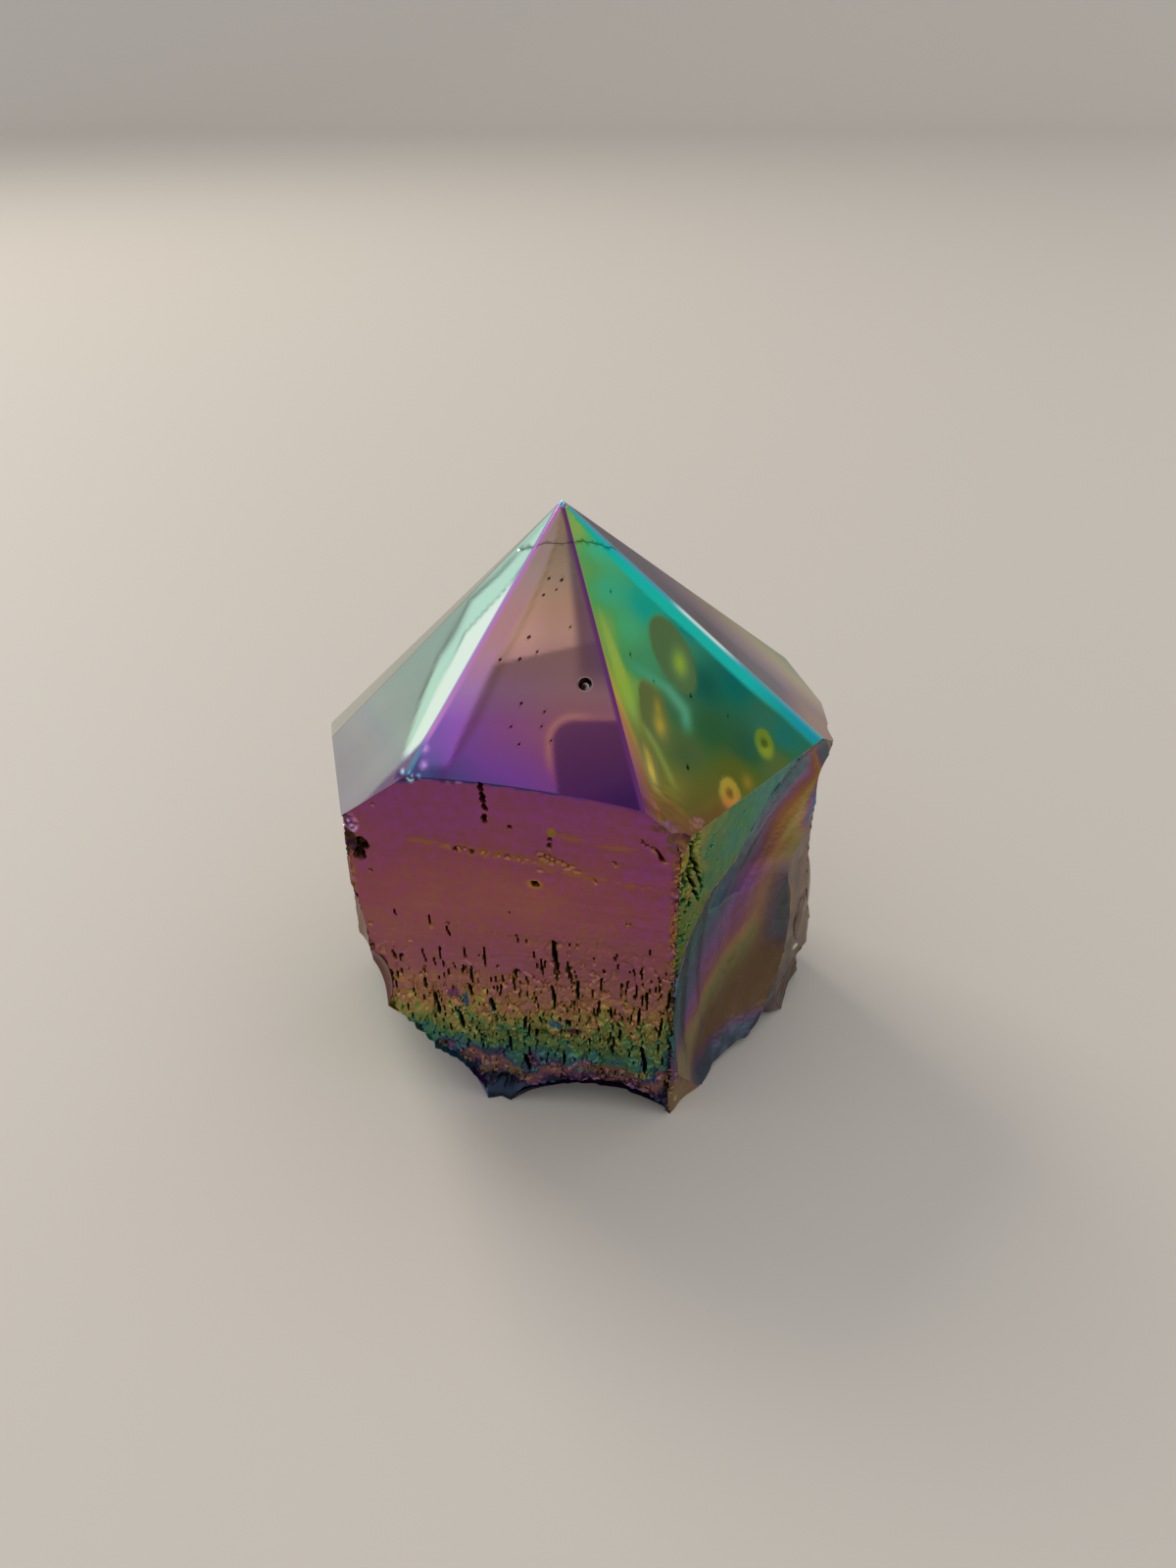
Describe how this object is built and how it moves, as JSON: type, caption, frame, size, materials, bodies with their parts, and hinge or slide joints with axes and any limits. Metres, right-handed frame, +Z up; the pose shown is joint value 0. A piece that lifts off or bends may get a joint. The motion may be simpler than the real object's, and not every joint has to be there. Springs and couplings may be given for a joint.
{
  "type": "titanium aura quartz point",
  "caption": "Decorative quartz point with an iridescent titanium film: polished pointed tip over natural etched and chipped prism faces, standing upright on its broken base.",
  "frame": {"origin": "middle of the level patch of the broken base, on the table", "axes": "+Z up through the stone towards its tip; the widest natural prism face looks along -Y"},
  "size_m": [0.0676, 0.0547, 0.0755],
  "materials": {
    "titanium_coated_quartz": "mirror-like titanium film in rainbow colours, polished on the tip and satin to rough on the natural faces"
  },
  "bodies": {
    "root": {"aura_quartz_point": "titanium_coated_quartz"}
  },
  "joints": []
}
